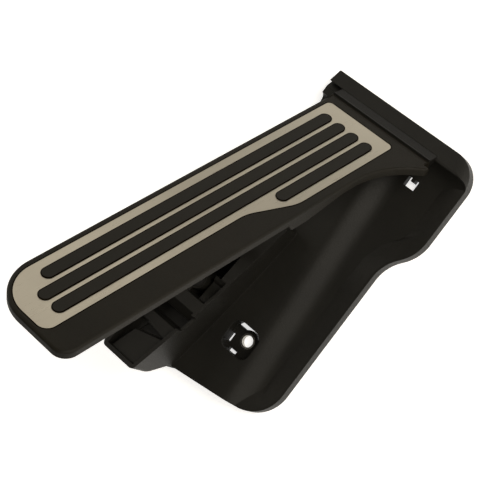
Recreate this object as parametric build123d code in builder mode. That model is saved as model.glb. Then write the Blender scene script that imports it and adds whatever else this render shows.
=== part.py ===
from build123d import *
from math import acos, cos, degrees, radians, sin, tan
import os

# Floor hinged accelerator pedal with a contactless lever sensor, in millimetres.
# +X to the driver's right, +Y from the heel hinge to the toe end, +Z up.
# The origin is the floor bolt's axis at the underside of the base.

# Hinge and pad
hinge_y = -137.0
hinge_z = 16.0
pad_angle = 45.0
pad_centre_x = 12.6
axis_drop = 2.5
pad_left = -27.0
pad_right = 29.6
pad_length = 238.0
pad_skin = 3.2
pad_edge_depth = 4.6
pad_wall = 2.4
pad_start = 3.0
skin_start = 0.8
pad_top_round = 1.5
barrel_radius = 2.2
flare_left = -44.0
flare_edge = 3.0
flare_radius = 51.0
toe_corner_right = 25.0
toe_corner_left = 8.0
pad_heel_corner = 4.0
flare_corner_radius = 2.5
pad_rib = 1.6
pad_rib_x = (-15.0, -3.0, 9.0)
pad_rib_pitch = 32.0
pad_rib_count = 7
guard_depth = 8.8
guard_width = 2.4
guard_heel_y = 43.0
guard_low_y = 79.0
guard_toe_y = 93.0
guard_round = 3.0
runner_depth = 8.0
runner_lead = 10.5
runner_run = 39.5
runner_ramp = 8.0
hinge_clearance = 0.08
strip_left_x = -28.0
strip_right_x = 42.0
strip_thickness = 2.0
strip_wall = 1.2
slot_depth = 3.5
slot_z = 6.9
mouth_low = -14.0
mouth_high = 150.0

# Tread: steel plate over a rubber mat whose ribs come up through the slots
plate_thickness = 0.8
mat_thickness = 0.8
plate_gap = 0.1
plate_start = 6.3
plate_right = 25.9
plate_wide_left = -21.3
plate_narrow_left = -10.6
plate_toe = 235.0
plate_step_start = 81.0
plate_step_end = 107.5
plate_step_radius = 25.0
plate_toe_radius_right = 20.0
plate_toe_radius_left = 6.0
plate_heel_radius = 3.0
rib_width = 7.1
rib_round = 0.25
rib_height = 0.4
rib_gap = 0.1
rib_start = 15.6
rib_pitch = 9.83
rib_first_x = 17.2
rib_ends = (214.2, 223.9, 223.7, 86.6)

# Base moulding in plan
wing_heel_x = -51.0
wing_toe_x = -38.0
base_right_x = 52.0
heel_y = -152.5
step_start_y = -95.0
step_end_y = -80.0
wing_toe_y = 28.7
toe_edge_y = 42.0
heel_corner = 16.0
toe_corner = 22.0
heel_edge_z = 8.0
crest_z = 12.0
crest_inset = 9.5
crest_corner = 9.5
crest_flat = 1.2
small_corner = 3.0
end_corner = 0.8
step_radius = 24.0
bowl_side = -1
rim_z = 7.0
rim_wall = 1.2
rim_slope = 11.0
floor_z = 4.0
plateau_z = 10.0
slope_heel_x = -5.0
slope_toe_x = -20.0
slope_half = 9.0
dish_radius = 14.0
wall = 2.5

# Bolt pocket and heel window
sleeve_inner_radius = 3.4
sleeve_outer_radius = 4.5
boss_radius = 6.4
pocket_floor_z = 3.0
pocket_size_x = 20.0
pocket_size_y = 18.0
pocket_corner = 5.0
pocket_shift_x = 1.0
crescent_width = 4.5
slot_reach = 9.8
slot_shift = 4.0
slot_length = 5.4
slot_width = 2.2
window_x = -22.0
window_y = -124.7
window_size_x = 7.0
window_size_y = 5.6
tab_width = 2.4
tab_reach = 2.0
well_x = 7.5
well_y = -66.0
well_width = 14.0
well_pitch = 22.0
well_count = 5
heel_well_x = 31.0
heel_well_y = -94.0
heel_well_pitch = 15.5

# Sensor box under the toe end
box_heel_y = -66.0
box_toe_y = 47.0
box_left_heel_x = 11.5
box_left_mid_x = 16.9
box_left_toe_x = 27.0
box_mid_y = -17.0
box_low_z = 23.5
box_high_z = 44.0
box_floor_z = 3.0
side_wall = 1.7
rib_wall = 2.0
beam_heel_y = -4.8
beam_toe_y = 2.4
deck_toe_y = -21.0
notch_heel_y = 4.0
notch_toe_y = 14.6
notch_depth = 4.5
notch_corner = 1.5
shelf_x = 48.0
shelf_z = 5.0
shelf_heel_y = -136.5
shelf_round = 5.0
undercut_start = 3.0
undercut_low_z = 15.0
undercut_high_z = 34.0

# Lever, shaft and springs
shaft_y = -42.0
shaft_z = 17.0
shaft_radius = 4.0
shoe_gap = 0.38
lever_width = 9.0
lever_x = 34.5
hub_radius = 8.5
tip_radius = 4.0
shoe_radius = 6.0
shaft_chamfer = 0.5
lever_root_half = 6.5
lever_tip_half = 3.2
lever_rim = 1.8
lever_web = 3.0
lever_angle = 33.0
lug_y = -36.0
lug_z = 29.0
lug_radius = 1.5
lug_reach = 2.4
nose_reach = 11.0
nose_low_z = 12.0
rest_gap = 0.3
bush_radius = 6.0
bush_flange = 7.0
bush_flange_thickness = 1.0
left_boss_x = 17.4
left_boss_length = 4.7
right_boss_length = 2.6
stop_radius = 5.0
stop_height = 11.0
stop_stem_radius = 2.0
stop_stem = 5.0
stop_round = 1.5
running_gap = 0.04
spring_mean_radius = 8.4
spring_wire = 1.8
spring_turns = 2.25
spring_pitch = 2.1
spring_side_gap = 0.2
spring_leg_y = -58.0
spring_leg_z = 31.0
spring_hold_gap = 0.1
hold_depth = 8.5
hold_height = 3.0

# Sensor chamber on the right side of the box
chamber_z = 36.0
chamber_depth = 14.0
cover_wall = 3.0
cover_flange = 3.0
screw_margin = 3.0
screw_space = 0.2
cover_height = 34.0
cup_length = 30.0
cup_height = 33.0
seal_width = 1.2
seal_depth = 0.9
rotor_gap = 0.3
rotor_radius = 7.0
rotor_depth = 5.2
rotor_grip = 2.6
magnet_radius = 3.5
magnet_depth = 2.0
air_gap = 0.8
chip_size = 5.0
chip_thickness = 1.0
board_thickness = 1.6
board_gap = 0.3
pillar_radius = 1.6
pillar_inset = 3.0
shroud_length = 22.0
shroud_width = 12.0
shroud_height = 19.0
shroud_wall = 1.6
shroud_round = 2.0
pin_count = 6
pin_pitch = 2.6
pin_size = 0.64
pin_rise = 1.2
pin_row_inset = 3.0
pin_reach = 12.0
screw_radius = 1.5
screw_clearance = 0.2
screw_head_radius = 2.8
screw_head = 1.8
screw_socket = 1.25
screw_pitch_z = 26.0

# Planes
base_plan = Plane.XY
tilt = radians(pad_angle)
pad_plane = Plane(
    origin=(
        pad_centre_x,
        hinge_y - axis_drop * sin(tilt),
        hinge_z + axis_drop * cos(tilt),
    ),
    x_dir=(1, 0, 0),
    z_dir=(0, -sin(tilt), cos(tilt)),
)


# Lever reach: its shoe just clears the rail under the resting pad
lever_drop = runner_depth + shoe_gap + shoe_radius
heel_reach = (shaft_y - pad_plane.origin.Y) * sin(tilt)
tip_z = pad_plane.origin.Z + (heel_reach - lever_drop) / cos(tilt)
lever_length = tip_z - shaft_z
contact_y = pad_plane.to_local_coords(Vector(0, shaft_y, tip_z)).Y
runner_start = contact_y - runner_lead
runner_end = contact_y + runner_run
deck_x = left_boss_x + left_boss_length
screw_pitch_y = cup_length + 2 * (screw_head_radius + screw_space)
cover_length = screw_pitch_y + 2 * screw_margin


def pad_side(x):
    """Plane across the pad at pad x, whose local x runs toe-ward and local y up."""
    return Plane(
        origin=pad_plane.from_local_coords((x, 0, 0)),
        x_dir=pad_plane.y_dir,
        z_dir=pad_plane.x_dir,
    )


def side_plane(x):
    """Plane across the part at x, whose local x is +Y and local y is +Z."""
    return Plane(origin=(x, 0, 0), x_dir=(0, 1, 0), z_dir=(1, 0, 0))


def front_plane(y):
    """Plane at y, whose local x is +X and local y is +Z, looking from the heel."""
    return Plane(origin=(0, y, 0), x_dir=(1, 0, 0), z_dir=(0, -1, 0))


def base_outline(heel_inset, corner):
    """Closed plan outline of the base, with its heel edge drawn in by heel_inset."""
    heel = heel_y + heel_inset
    points = [
        (base_right_x, heel),
        (wing_heel_x, heel),
        (wing_heel_x, step_start_y),
        (wing_toe_x, step_end_y),
        (wing_toe_x, wing_toe_y),
        (base_right_x, toe_edge_y),
    ]
    rounds = [end_corner, corner, step_radius, step_radius, toe_corner, small_corner]
    return FilletPolyline(*points, radius=rounds, close=True)


# Envelope: the skirt stands square, and the heel ramp leans in to the crest
with BuildPart() as envelope:
    with BuildSketch(base_plan):
        with BuildLine():
            base_outline(0, heel_corner)
        make_face()
    extrude(amount=heel_edge_z)
    with BuildSketch(base_plan.offset(heel_edge_z)):
        with BuildLine():
            base_outline(0, heel_corner)
        make_face()
    with BuildSketch(base_plan.offset(crest_z)):
        with BuildLine():
            base_outline(crest_inset, crest_corner)
        make_face()
    loft()

# Rim: the tray's foot, as high as its rim all over
with BuildPart() as tray:
    with BuildSketch(base_plan):
        with BuildLine():
            base_outline(0, heel_corner)
        make_face()
    extrude(amount=rim_z)

# Plateau: the raised middle that the wing's floor climbs to in one soft slope
with BuildPart() as plateau:
    for station_y, slope_x in ((heel_y, slope_heel_x), (toe_edge_y + wall, slope_toe_x)):
        with BuildSketch(front_plane(station_y)):
            with BuildLine():
                Line((base_right_x, 0), (slope_x - slope_half, 0))
                Line((slope_x - slope_half, 0), (slope_x - slope_half, floor_z))
                foot = (slope_x - slope_half, floor_z)
                brow = (slope_x + slope_half, plateau_z)
                Spline(foot, brow, tangents=((1, 0), (1, 0)))
                Line(brow, (base_right_x, plateau_z))
                Line((base_right_x, plateau_z), (base_right_x, 0))
            make_face()
    loft()

# Wing floor: what the tray loses beside the plateau
with BuildPart() as tray_hollow:
    with BuildSketch(base_plan.offset(floor_z)):
        with BuildLine():
            base_outline(0, heel_corner)
        make_face()
        offset(amount=-(rim_wall + rim_slope), mode=Mode.REPLACE)
    with BuildSketch(base_plan.offset(rim_z)):
        with BuildLine():
            base_outline(0, heel_corner)
        make_face()
        offset(amount=-rim_wall, mode=Mode.REPLACE)
    loft()
    add(plateau.part, mode=Mode.SUBTRACT)

# Heel bar: ramp, crest and the hollow round that runs down into the wing
crest_y = heel_y + crest_inset
bar_front = crest_y + crest_flat
bowl_drop = floor_z + dish_radius - crest_z
bowl_y = bar_front + (dish_radius**2 - bowl_drop**2) ** 0.5
with BuildPart() as heel_bar:
    with BuildSketch(side_plane(wing_heel_x)):
        with BuildLine():
            Line((heel_y, 0), (heel_y, crest_z))
            Line((heel_y, crest_z), (bar_front, crest_z))
            RadiusArc((bar_front, crest_z), (bowl_y, floor_z), bowl_side * dish_radius)
            Line((bowl_y, floor_z), (bowl_y, 0))
            Line((bowl_y, 0), (heel_y, 0))
        make_face()
    extrude(amount=base_right_x - wing_heel_x)

# Sensor box: a gently bowed wing side wall, sloping top and undercut toe end
# The bump stop stands before the beam, just clear of the lever at full travel
lever_turn = radians(lever_angle)
box_slope = (box_high_z - box_low_z) / (box_toe_y - box_heel_y)
box_span_x = base_right_x - box_left_heel_x


def box_top(y):
    """Height of the sensor box's sloping top at y."""
    return box_low_z + box_slope * (y - box_heel_y)


stop_top_z = box_low_z + stop_height + box_slope * (box_mid_y - box_heel_y)
stop_reach = (stop_top_z - shaft_z) / cos(lever_turn)
stop_half = lever_root_half + (lever_tip_half - lever_root_half) * stop_reach / lever_length
lever_face_y = shaft_y + (stop_top_z - shaft_z) * tan(lever_turn) + stop_half / cos(lever_turn)
stop_y = lever_face_y + stop_radius + rest_gap
seat_z = stop_top_z - stop_height

with BuildPart() as sensor_box:
    with BuildSketch(base_plan):
        with BuildLine():
            ThreePointArc(
                (box_left_heel_x, box_heel_y),
                (box_left_mid_x, box_mid_y),
                (box_left_toe_x, box_toe_y),
            )
            Line((box_left_toe_x, box_toe_y), (base_right_x, box_toe_y))
            Line((base_right_x, box_toe_y), (base_right_x, box_heel_y))
            Line((base_right_x, box_heel_y), (box_left_heel_x, box_heel_y))
        make_face()
    extrude(amount=box_high_z)
    corners = sensor_box.edges().filter_by(Axis.Z)
    fillet(corners, radius=small_corner)
    with BuildSketch(side_plane(base_right_x + wall)):
        with BuildLine():
            Polyline(
                (box_heel_y - wall, box_top(box_heel_y - wall)),
                (box_toe_y + wall, box_top(box_toe_y + wall)),
                (box_toe_y + wall, box_high_z + wall),
                (box_heel_y - wall, box_high_z + wall),
                close=True,
            )
        make_face()
    extrude(amount=-(box_span_x + 3 * wall), mode=Mode.SUBTRACT)
    with BuildSketch(side_plane(base_right_x + wall)):
        with BuildLine():
            Polyline(
                (toe_edge_y - undercut_start, -wall),
                (toe_edge_y - undercut_start, undercut_low_z),
                (box_toe_y + wall, undercut_high_z),
                (box_toe_y + wall, -wall),
                close=True,
            )
        make_face()
    extrude(amount=-(box_span_x + 3 * wall), mode=Mode.SUBTRACT)

# Open wells in the box: the lever's bay under a side deck, a thick beam, and the toe well
with BuildPart() as box_wells:
    with BuildSketch(base_plan.offset(box_floor_z)):
        with BuildLine():
            ThreePointArc(
                (box_left_heel_x + side_wall, box_heel_y + wall),
                (box_left_mid_x + side_wall, box_mid_y),
                (box_left_toe_x + side_wall, box_toe_y - wall),
            )
            Polyline(
                (box_left_toe_x + side_wall, box_toe_y - wall),
                (base_right_x - wall, box_toe_y - wall),
                (base_right_x - wall, box_heel_y + wall),
                (box_left_heel_x + side_wall, box_heel_y + wall),
            )
        make_face()
    extrude(amount=box_high_z)
    with BuildSketch(base_plan):
        with Locations((base_right_x, (beam_heel_y + beam_toe_y) / 2)):
            Rectangle(2 * box_span_x, beam_toe_y - beam_heel_y)
        with Locations((deck_x, deck_toe_y)):
            Rectangle(box_span_x, deck_toe_y - box_heel_y, align=(Align.MAX, Align.MAX))
    extrude(amount=2 * box_high_z, mode=Mode.SUBTRACT)
    with BuildSketch(side_plane(box_left_heel_x)):
        with BuildLine():
            Polyline(
                (toe_edge_y - undercut_start - wall, -wall),
                (toe_edge_y - undercut_start - wall, undercut_low_z + wall),
                (box_toe_y + wall, undercut_high_z + 2 * wall),
                (box_toe_y + wall, -wall),
                close=True,
            )
        make_face()
    extrude(amount=box_span_x, mode=Mode.SUBTRACT)

# Hinge strip: one leg sits in the bar's slot, the other cradles the pad's barrel
socket_radius = barrel_radius + hinge_clearance
cradle_radius = socket_radius + strip_wall
with BuildPart() as hinge_strip:
    with BuildSketch(side_plane(strip_left_x)):
        with Locations((hinge_y, hinge_z)):
            Circle(cradle_radius)
        with BuildLine():
            Polyline(
                (crest_y - slot_depth, slot_z),
                (crest_y - slot_depth, slot_z + strip_thickness),
                (hinge_y - cradle_radius, hinge_z),
                (hinge_y, hinge_z - cradle_radius),
                close=True,
            )
        make_face()
        with Locations((hinge_y, hinge_z)):
            Circle(socket_radius, mode=Mode.SUBTRACT)
        mouth = 3 * cradle_radius
        with BuildLine():
            Polyline(
                (hinge_y, hinge_z),
                (hinge_y + mouth * cos(radians(mouth_low)), hinge_z + mouth * sin(radians(mouth_low))),
                (hinge_y + mouth, hinge_z + mouth),
                (hinge_y + mouth * cos(radians(mouth_high)), hinge_z + mouth * sin(radians(mouth_high))),
                close=True,
            )
        make_face(mode=Mode.SUBTRACT)
    extrude(amount=strip_right_x - strip_left_x)
hinge_strip.part.label = "hinge_strip"

hold_z = shaft_z - spring_mean_radius + spring_wire / 2 + spring_hold_gap
chamber_centre_z = chamber_z / 2

# Base housing: the forms above in one moulding, then its openings
with BuildPart() as base_housing:
    add(plateau.part)
    add(tray.part)
    add(tray_hollow.part, mode=Mode.SUBTRACT)
    add(heel_bar.part)
    add(envelope.part, mode=Mode.INTERSECT)
    add(sensor_box.part)
    add(box_wells.part, mode=Mode.SUBTRACT)
    # Notch in the side wall's top, beside the beam
    with BuildSketch(side_plane(box_left_heel_x)):
        with BuildLine():
            FilletPolyline(
                (notch_heel_y, box_top(notch_heel_y) + notch_depth),
                (notch_heel_y, box_top(notch_heel_y) - notch_depth),
                (notch_toe_y, box_top(notch_toe_y) - notch_depth),
                (notch_toe_y, box_top(notch_toe_y) + notch_depth),
                radius=notch_corner,
                close=True,
            )
        make_face()
    extrude(amount=deck_x - box_left_heel_x + side_wall, mode=Mode.SUBTRACT)
    # Hollow from below in the beam
    with BuildSketch(base_plan):
        with Locations(((deck_x + base_right_x) / 2, (beam_heel_y + beam_toe_y) / 2)):
            Rectangle(
                base_right_x - deck_x - 2 * wall,
                beam_toe_y - beam_heel_y - 2 * rib_wall,
            )
    extrude(amount=box_top(beam_heel_y) - wall, mode=Mode.SUBTRACT)
    # Low shelf along the driver's right edge, beside the heel wells
    with BuildSketch(side_plane(shelf_x)):
        with BuildLine():
            shelf_arc = RadiusArc(
                (shelf_heel_y, shelf_z + shelf_round),
                (shelf_heel_y + shelf_round, shelf_z),
                bowl_side * shelf_round,
            )
            Polyline(
                shelf_arc @ 1,
                (box_heel_y - wall, shelf_z),
                (box_heel_y - wall, crest_z),
                (shelf_heel_y, crest_z),
                shelf_arc @ 0,
            )
        make_face()
    extrude(amount=base_right_x - shelf_x, mode=Mode.SUBTRACT)
    # Bolt pocket with the boss left standing in its floor
    with BuildSketch(base_plan.offset(pocket_floor_z)):
        with Locations((pocket_shift_x, pocket_shift_x)):
            RectangleRounded(pocket_size_x, pocket_size_y, pocket_corner)
    extrude(amount=crest_z, mode=Mode.SUBTRACT)
    # Drain crescent and two slots beside the boss
    with BuildSketch(base_plan):
        with Locations((pocket_shift_x, pocket_shift_x)):
            RectangleRounded(pocket_size_x, pocket_size_y, pocket_corner)
        Circle(boss_radius, mode=Mode.SUBTRACT)
        with Locations((0, pocket_size_y / 2 - crescent_width)):
            Rectangle(3 * pocket_size_x, pocket_size_y, mode=Mode.SUBTRACT)
    extrude(amount=pocket_floor_z, mode=Mode.SUBTRACT)
    with BuildSketch(base_plan):
        with Locations((slot_reach, slot_shift)):
            Rectangle(slot_width, slot_length)
        with Locations((slot_shift, slot_reach)):
            Rectangle(slot_length, slot_width)
    extrude(amount=slot_reach, mode=Mode.SUBTRACT)
    with BuildSketch(base_plan):
        Circle(sleeve_outer_radius)
    extrude(amount=pocket_floor_z, mode=Mode.SUBTRACT)
    # Heel window with its locating tab
    with BuildSketch(base_plan):
        with Locations((window_x, window_y)):
            Rectangle(window_size_x, window_size_y)
        with Locations((window_x, window_y - window_size_y / 2)):
            Rectangle(tab_width, 2 * tab_reach, mode=Mode.SUBTRACT)
    extrude(amount=crest_z, mode=Mode.SUBTRACT)
    # Underside wells that keep the plateau an even wall
    with BuildSketch(base_plan):
        with Locations((well_x, well_y)):
            with GridLocations(0, well_pitch, 1, well_count):
                Rectangle(well_width, well_pitch - rib_wall)
    extrude(amount=plateau_z - wall, mode=Mode.SUBTRACT)
    with BuildSketch(base_plan):
        with Locations((heel_well_x, heel_well_y)):
            with GridLocations(heel_well_pitch, well_pitch, 2, 2):
                Rectangle(heel_well_pitch - rib_wall, well_pitch - rib_wall)
    extrude(amount=plateau_z - wall, mode=Mode.SUBTRACT)
    # Slot for the hinge strip, open at the driver's right
    with BuildSketch(side_plane(strip_left_x)):
        with BuildLine():
            Polyline(
                (crest_y - slot_depth, slot_z),
                (crest_y - slot_depth, slot_z + strip_thickness),
                (hinge_y - cradle_radius, hinge_z),
                (hinge_y, hinge_z - cradle_radius),
                close=True,
            )
        make_face()
    extrude(amount=base_right_x - strip_left_x, mode=Mode.SUBTRACT)
    # Flat flange that carries the sensor chamber, and the bearing bosses
    with BuildSketch(side_plane(base_right_x - wall)):
        with Locations((shaft_y, chamber_centre_z)):
            RectangleRounded(cover_length, chamber_z, small_corner)
    extrude(amount=wall)
    with BuildSketch(side_plane(left_boss_x)):
        with Locations((shaft_y, shaft_z)):
            Circle(bush_radius + wall)
        with Locations((shaft_y, shaft_z / 2)):
            Rectangle(bush_radius, shaft_z)
    extrude(amount=left_boss_length)
    with BuildSketch(side_plane(base_right_x - wall - right_boss_length)):
        with Locations((shaft_y, shaft_z)):
            Circle(bush_radius + wall)
        with Locations((shaft_y, shaft_z / 2)):
            Rectangle(bush_radius, shaft_z)
    extrude(amount=right_boss_length)
    with BuildSketch(side_plane(left_boss_x)):
        with Locations((shaft_y, shaft_z)):
            Circle(bush_radius)
    extrude(amount=base_right_x - left_boss_x, mode=Mode.SUBTRACT)
    # Seat for the bump stop, webbed to the beam
    with BuildSketch(base_plan.offset(box_floor_z)):
        with Locations((lever_x, stop_y)):
            Circle(stop_radius + rib_wall / 2)
        with Locations((lever_x, beam_heel_y)):
            Rectangle(rib_wall, beam_heel_y - stop_y, align=(Align.CENTER, Align.MAX))
    extrude(amount=seat_z - box_floor_z)
    with BuildSketch(base_plan.offset(seat_z)):
        with Locations((lever_x, stop_y)):
            Circle(stop_stem_radius)
    extrude(amount=-stop_stem, mode=Mode.SUBTRACT)
    # Ledge over the springs' fixed legs, and the block the lever's nose rests on
    with BuildSketch(side_plane(left_boss_x)):
        with Locations((box_heel_y + wall + hold_depth / 2 - wall / 2, hold_z + hold_height / 2)):
            Rectangle(hold_depth + wall, hold_height)
    extrude(amount=base_right_x - wall / 2 - left_boss_x)
    with BuildSketch(base_plan):
        with Locations((lever_x, shaft_y - nose_reach + rib_wall)):
            Rectangle(lever_width, 2 * rib_wall)
    extrude(amount=nose_low_z - rest_gap)
    # Pilot holes for the cover screws
    with BuildSketch(side_plane(base_right_x)):
        with Locations((shaft_y, chamber_centre_z)):
            with GridLocations(screw_pitch_y, screw_pitch_z, 2, 2):
                Circle(screw_radius)
    extrude(amount=-wall, mode=Mode.SUBTRACT)
base_housing.part.label = "base_housing"


# Sleeve that takes the floor bolt's squeeze off the plastic
with BuildPart() as bolt_sleeve:
    with BuildSketch(base_plan):
        Circle(sleeve_outer_radius)
        Circle(sleeve_inner_radius, mode=Mode.SUBTRACT)
    extrude(amount=pocket_floor_z)
bolt_sleeve.part.label = "bolt_sleeve"


def pad_outline():
    """Plan of the pad: round toe corners, and a flare that widens to the hinge."""
    flare_centre = pad_left - flare_radius
    flare_sweep = degrees(acos((flare_left - flare_centre) / flare_radius))
    flare_toe_y = pad_start + flare_edge + flare_radius * sin(radians(flare_sweep))
    straight = FilletPolyline(
        (flare_left, pad_start),
        (pad_right, pad_start),
        (pad_right, pad_length),
        (pad_left, pad_length),
        (pad_left, flare_toe_y),
        radius=[pad_heel_corner, toe_corner_right, toe_corner_left],
    )
    flare = CenterArc((flare_centre, flare_toe_y), flare_radius, 0, -flare_sweep)
    Line(flare @ 1, straight @ 0)


def tread_outline():
    """Plan of the tread plate, with an S-curve where it narrows beside the flare."""
    FilletPolyline(
        (plate_right, plate_start),
        (plate_wide_left, plate_start),
        (plate_wide_left, plate_step_start),
        (plate_narrow_left, plate_step_end),
        (plate_narrow_left, plate_toe),
        (plate_right, plate_toe),
        radius=[
            plate_heel_radius,
            plate_heel_radius,
            plate_step_radius,
            plate_step_radius,
            plate_toe_radius_left,
            plate_toe_radius_right,
        ],
        close=True,
    )


with BuildSketch() as pad_shape:
    with BuildLine():
        pad_outline()
    make_face()
    flare_corner = pad_shape.vertices().group_by(Axis.X)[0].sort_by(Axis.Y)[-1]
    fillet(flare_corner, radius=flare_corner_radius)

# Pedal pad: a ribbed shell, rounded round its top, on the hinge's barrel
pad_normal = Axis(pad_plane.origin, pad_plane.z_dir)
barrel_left = strip_left_x - pad_centre_x
with BuildPart() as pedal_pad:
    with BuildSketch(pad_plane):
        add(pad_shape.sketch)
    extrude(amount=-pad_edge_depth)
    rim = pedal_pad.faces().sort_by(pad_normal)[-1]
    fillet(rim.edges(), radius=pad_top_round)
    with BuildSketch(pad_plane.offset(-pad_skin)):
        add(pad_shape.sketch)
        offset(amount=-pad_wall, mode=Mode.REPLACE)
    extrude(amount=pad_skin - pad_edge_depth, mode=Mode.SUBTRACT)
    with BuildSketch(pad_plane.offset(-pad_skin)):
        for rib_x in pad_rib_x:
            with Locations((rib_x, pad_length / 2)):
                Rectangle(pad_rib, pad_length - 2 * pad_start)
        with Locations((pad_right / 2 + pad_left / 2, pad_length / 2)):
            with GridLocations(0, pad_rib_pitch, 1, pad_rib_count):
                Rectangle(pad_right - pad_left - pad_wall, pad_rib)
    extrude(amount=pad_skin - pad_edge_depth)
    with BuildSketch(pad_side(pad_left)):
        with BuildLine():
            FilletPolyline(
                (guard_heel_y, -pad_skin),
                (guard_low_y, -guard_depth),
                (guard_toe_y - guard_round, -guard_depth),
                (guard_toe_y, -pad_skin),
                radius=guard_round,
                close=False,
            )
            Line((guard_toe_y, -pad_skin), (guard_heel_y, -pad_skin))
        make_face()
    extrude(amount=guard_width)
    with BuildSketch(pad_side(lever_x - pad_centre_x - lever_width / 2)):
        with BuildLine():
            Polyline(
                (runner_start - runner_ramp, -pad_skin),
                (runner_start, -runner_depth),
                (runner_end, -runner_depth),
                (runner_end + runner_ramp, -pad_skin),
                close=True,
            )
        make_face()
    extrude(amount=lever_width)
    with BuildSketch(pad_side(barrel_left)):
        with Locations((0, -axis_drop)):
            Circle(barrel_radius)
    extrude(amount=pad_right - barrel_left)
    with BuildSketch(pad_side(barrel_left)):
        with Locations((skin_start + pad_start, -pad_skin / 2)):
            Rectangle(2 * pad_start, pad_skin)
    extrude(amount=pad_right - pad_top_round - barrel_left)
    with BuildSketch(pad_plane):
        with BuildLine():
            tread_outline()
        make_face()
        offset(amount=plate_gap, mode=Mode.REPLACE)
    extrude(amount=-(plate_thickness + mat_thickness), mode=Mode.SUBTRACT)
pedal_pad.part.label = "pedal_pad"


# Tread plate: thin sheet with a slot for each rubber rib
with BuildPart() as tread_plate:
    with BuildSketch(pad_plane.offset(-plate_thickness)):
        with BuildLine():
            tread_outline()
        make_face()
        for index, rib_end in enumerate(rib_ends):
            with Locations((rib_first_x - index * rib_pitch, (rib_start + rib_end) / 2)):
                SlotOverall(
                    rib_end - rib_start + 2 * rib_gap,
                    rib_width + 2 * rib_gap,
                    rotation=90,
                    mode=Mode.SUBTRACT,
                )
    extrude(amount=plate_thickness)
tread_plate.part.label = "tread_plate"

# Rubber mat: a thin web under the plate, and the ribs that stand up through it
with BuildPart() as rubber_mat:
    with BuildSketch(pad_plane.offset(-plate_thickness - mat_thickness)):
        with BuildLine():
            tread_outline()
        make_face()
    extrude(amount=mat_thickness)
    with BuildSketch(pad_plane.offset(-plate_thickness)):
        for index, rib_end in enumerate(rib_ends):
            with Locations((rib_first_x - index * rib_pitch, (rib_start + rib_end) / 2)):
                SlotOverall(rib_end - rib_start, rib_width, rotation=90)
    extrude(amount=plate_thickness + rib_height)
    rib_tops = rubber_mat.faces().group_by(pad_normal)[-1]
    fillet(rib_tops.edges(), radius=rib_round)
rubber_mat.part.label = "rubber_mat"

# Lever arm: hub, tapering I-beam and the lugs that the springs push on
web_depth = (lever_width - lever_web) / 2
with BuildPart() as lever_arm:
    with BuildSketch(side_plane(lever_x - lever_width / 2)):
        with Locations((shaft_y, shaft_z)):
            Circle(hub_radius)
        with Locations((shaft_y, tip_z)):
            Circle(tip_radius)
        with BuildLine():
            Polyline(
                (shaft_y - lever_root_half, shaft_z),
                (shaft_y + lever_root_half, shaft_z),
                (shaft_y + lever_tip_half, tip_z),
                (shaft_y - lever_tip_half, tip_z),
                close=True,
            )
        make_face()
        with BuildLine():
            Polyline(
                (shaft_y, shaft_z),
                (shaft_y - nose_reach, shaft_z),
                (shaft_y - nose_reach, nose_low_z),
                (shaft_y, nose_low_z),
                close=True,
            )
        make_face()
    extrude(amount=lever_width)
    for face_x in (lever_x - lever_width / 2, lever_x + lever_web / 2):
        with BuildSketch(side_plane(face_x)):
            with BuildLine():
                FilletPolyline(
                    (shaft_y - lever_root_half + lever_rim, shaft_z + hub_radius),
                    (shaft_y + lever_root_half - lever_rim, shaft_z + hub_radius),
                    (shaft_y + lever_tip_half - lever_rim, tip_z - tip_radius - lever_rim),
                    (shaft_y - lever_tip_half + lever_rim, tip_z - tip_radius - lever_rim),
                    radius=lever_rim / 2,
                    close=True,
                )
            make_face()
        extrude(amount=web_depth, mode=Mode.SUBTRACT)
    with BuildSketch(side_plane(lever_x - lever_width / 2 - lug_reach)):
        with Locations((lug_y, lug_z)):
            Circle(lug_radius)
    extrude(amount=lever_width + 2 * lug_reach)
    with BuildSketch(side_plane(lever_x - lever_width / 2)):
        with Locations((shaft_y, shaft_z)):
            Circle(shaft_radius)
    extrude(amount=lever_width, mode=Mode.SUBTRACT)
lever_arm.part.label = "lever_arm"

# Sliding shoe: a C-shaped clip round the lever's tip, open where the arm enters
with BuildPart() as lever_shoe:
    with BuildSketch(side_plane(lever_x - lever_width / 2)):
        with Locations((shaft_y, tip_z)):
            Circle(shoe_radius)
            Circle(tip_radius, mode=Mode.SUBTRACT)
        with BuildLine():
            Polyline(
                (shaft_y, tip_z),
                (shaft_y - 2 * shoe_radius, tip_z - shoe_radius),
                (shaft_y + 2 * shoe_radius, tip_z - shoe_radius),
                close=True,
            )
        make_face(mode=Mode.SUBTRACT)
    extrude(amount=lever_width)
lever_shoe.part.label = "lever_shoe"

# Lever shaft, pressed through the hub and on into the sensor chamber
rotor_x = base_right_x + rotor_gap
with BuildPart() as lever_shaft:
    with BuildSketch(side_plane(left_boss_x + rest_gap)):
        with Locations((shaft_y, shaft_z)):
            Circle(shaft_radius)
    extrude(amount=rotor_x + rotor_grip - left_boss_x - rest_gap)
    chamfer(lever_shaft.edges().filter_by(GeomType.CIRCLE), length=shaft_chamfer)
lever_shaft.part.label = "lever_shaft"

# Flanged bushes, one in each boss
left_bush_face = left_boss_x + left_boss_length
right_bush_face = base_right_x - wall - right_boss_length
with BuildPart() as shaft_bush_left:
    with BuildSketch(side_plane(left_boss_x)):
        with Locations((shaft_y, shaft_z)):
            Circle(bush_radius)
    extrude(amount=left_boss_length)
    with BuildSketch(side_plane(left_bush_face)):
        with Locations((shaft_y, shaft_z)):
            Circle(bush_flange)
    extrude(amount=bush_flange_thickness)
    with BuildSketch(side_plane(left_boss_x)):
        with Locations((shaft_y, shaft_z)):
            Circle(shaft_radius + running_gap)
    extrude(amount=left_boss_length + bush_flange_thickness, mode=Mode.SUBTRACT)
shaft_bush_left.part.label = "shaft_bush_left"

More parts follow.
